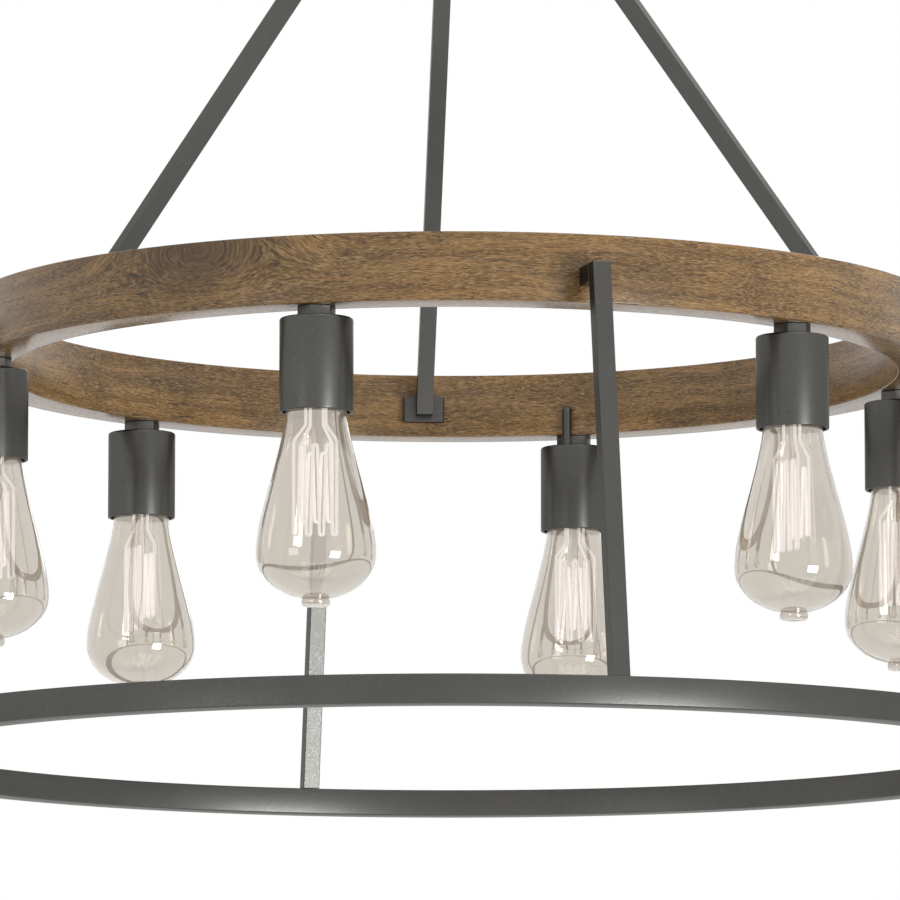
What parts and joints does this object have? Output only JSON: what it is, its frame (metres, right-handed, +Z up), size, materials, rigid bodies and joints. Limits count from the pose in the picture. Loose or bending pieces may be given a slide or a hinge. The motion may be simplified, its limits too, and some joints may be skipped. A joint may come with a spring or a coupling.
{
  "type": "industrial chandelier",
  "caption": "Hanging light: a wood ring with bare bulbs in metal lampholders, carried by sloping rods over a wider steel ring on splayed bars.",
  "frame": {"origin": "centre of the mounting bracket's two slots, on the ceiling plane", "axes": "+Z up into the ceiling, +X along the bracket, -Y towards the picture's camera"},
  "size_m": [0.7109, 0.711, 0.8162],
  "materials": {
    "dark_metal": "dark slate grey powder coat, fine sparkle, satin",
    "zinc_steel": "zinc plated",
    "bronze": "plain bearing bronze",
    "walnut": "oiled, grain runs round the ring",
    "lead_jacket": "PVC insulated lead",
    "porcelain": "glazed porcelain",
    "brass": "drawn brass",
    "bulb_insulator": "black glass insulator with a soldered contact",
    "clear_glass": "clear blown glass, faint warm grey",
    "filament": "pale carbon filament, warm white when lit"
  },
  "bodies": {
    "ceiling_plate": {"mounting_bracket": "zinc_steel", "swivel_bush": "bronze", "canopy": "dark_metal", "canopy_screws": "dark_metal"},
    "swivel": {"swivel_fork": "dark_metal", "swivel_retainer": "zinc_steel", "pivot_screws": "dark_metal"},
    "pendant": {"stem_coupling": "dark_metal", "stem": "dark_metal", "hub": "dark_metal", "hub_cover": "dark_metal", "rod_right": "dark_metal", "rod_back": "dark_metal", "rod_left": "dark_metal", "rod_plates": "dark_metal", "plate_studs": "zinc_steel", "wood_ring": "walnut", "wire_cover": "dark_metal", "wiring": "lead_jacket", "bar_front": "dark_metal", "bar_right": "dark_metal", "bar_back": "dark_metal", "bar_left": "dark_metal", "bar_stubs": "dark_metal", "lower_ring": "dark_metal", "earth_pin": "dark_metal", "lampholder_nuts": "dark_metal", "lampholder_nipples": "zinc_steel", "lampholder_inserts": "porcelain", "lampholder_contacts": "brass", "lampholder_cup_1": "dark_metal", "lampholder_cup_2": "dark_metal", "lampholder_cup_3": "dark_metal", "lampholder_cup_4": "dark_metal", "lampholder_cup_5": "dark_metal", "lampholder_cup_6": "dark_metal"},
    "bulb_travel_1": {"bulb_contact_1": "bulb_insulator"},
    "bulb_1": {"bulb_cap_1": "brass", "bulb_glass_1": "clear_glass", "bulb_filament_1": "filament"},
    "bulb_travel_2": {"bulb_contact_2": "bulb_insulator"},
    "bulb_2": {"bulb_cap_2": "brass", "bulb_glass_2": "clear_glass", "bulb_filament_2": "filament"},
    "bulb_travel_3": {"bulb_contact_3": "bulb_insulator"},
    "bulb_3": {"bulb_cap_3": "brass", "bulb_glass_3": "clear_glass", "bulb_filament_3": "filament"},
    "bulb_travel_4": {"bulb_contact_4": "bulb_insulator"},
    "bulb_4": {"bulb_cap_4": "brass", "bulb_glass_4": "clear_glass", "bulb_filament_4": "filament"},
    "bulb_travel_5": {"bulb_contact_5": "bulb_insulator"},
    "bulb_5": {"bulb_cap_5": "brass", "bulb_glass_5": "clear_glass", "bulb_filament_5": "filament"},
    "bulb_travel_6": {"bulb_contact_6": "bulb_insulator"},
    "bulb_6": {"bulb_cap_6": "brass", "bulb_glass_6": "clear_glass", "bulb_filament_6": "filament"}
  },
  "joints": [
    {"name": "swivel_turn", "type": "hinge", "parent": "ceiling_plate", "child": "swivel", "pos_m": [0, 0, -0.041], "axis": [0, 0, 1], "range_deg": [-170, 170]},
    {"name": "hang_tilt", "type": "hinge", "parent": "swivel", "child": "pendant", "pos_m": [0, 0, -0.041], "axis": [1, 0, 0], "range_deg": [-45, 45]},
    {"name": "bulb_sink_1", "type": "slide", "parent": "pendant", "child": "bulb_travel_1", "axis": [0, 0, -1], "range_m": [0, 0.02]},
    {"name": "bulb_turn_1", "type": "hinge", "parent": "bulb_travel_1", "child": "bulb_1", "pos_m": [0.19124, -0.19762, -0.64552], "axis": [0, 0, -1], "range_deg": [0, 1980]},
    {"name": "bulb_sink_2", "type": "slide", "parent": "pendant", "child": "bulb_travel_2", "axis": [0, 0, -1], "range_m": [0, 0.02]},
    {"name": "bulb_turn_2", "type": "hinge", "parent": "bulb_travel_2", "child": "bulb_2", "pos_m": [0.26676, 0.06681, -0.64552], "axis": [0, 0, -1], "range_deg": [0, 1980]},
    {"name": "bulb_sink_3", "type": "slide", "parent": "pendant", "child": "bulb_travel_3", "axis": [0, 0, -1], "range_m": [0, 0.02]},
    {"name": "bulb_turn_3", "type": "hinge", "parent": "bulb_travel_3", "child": "bulb_3", "pos_m": [0.07552, 0.26443, -0.64552], "axis": [0, 0, -1], "range_deg": [0, 1980]},
    {"name": "bulb_sink_4", "type": "slide", "parent": "pendant", "child": "bulb_travel_4", "axis": [0, 0, -1], "range_m": [0, 0.02]},
    {"name": "bulb_turn_4", "type": "hinge", "parent": "bulb_travel_4", "child": "bulb_4", "pos_m": [-0.19124, 0.19762, -0.64552], "axis": [0, 0, -1], "range_deg": [0, 1980]},
    {"name": "bulb_sink_5", "type": "slide", "parent": "pendant", "child": "bulb_travel_5", "axis": [0, 0, -1], "range_m": [0, 0.02]},
    {"name": "bulb_turn_5", "type": "hinge", "parent": "bulb_travel_5", "child": "bulb_5", "pos_m": [-0.26676, -0.06681, -0.64552], "axis": [0, 0, -1], "range_deg": [0, 1980]},
    {"name": "bulb_sink_6", "type": "slide", "parent": "pendant", "child": "bulb_travel_6", "axis": [0, 0, -1], "range_m": [0, 0.02]},
    {"name": "bulb_turn_6", "type": "hinge", "parent": "bulb_travel_6", "child": "bulb_6", "pos_m": [-0.07552, -0.26443, -0.64552], "axis": [0, 0, -1], "range_deg": [0, 1980]}
  ],
  "couplings": [
    {"joint": "bulb_sink_1", "follows": "bulb_turn_1", "m_per_rad": 0.00057757},
    {"joint": "bulb_sink_2", "follows": "bulb_turn_2", "m_per_rad": 0.00057757},
    {"joint": "bulb_sink_3", "follows": "bulb_turn_3", "m_per_rad": 0.00057757},
    {"joint": "bulb_sink_4", "follows": "bulb_turn_4", "m_per_rad": 0.00057757},
    {"joint": "bulb_sink_5", "follows": "bulb_turn_5", "m_per_rad": 0.00057757},
    {"joint": "bulb_sink_6", "follows": "bulb_turn_6", "m_per_rad": 0.00057757}
  ]
}
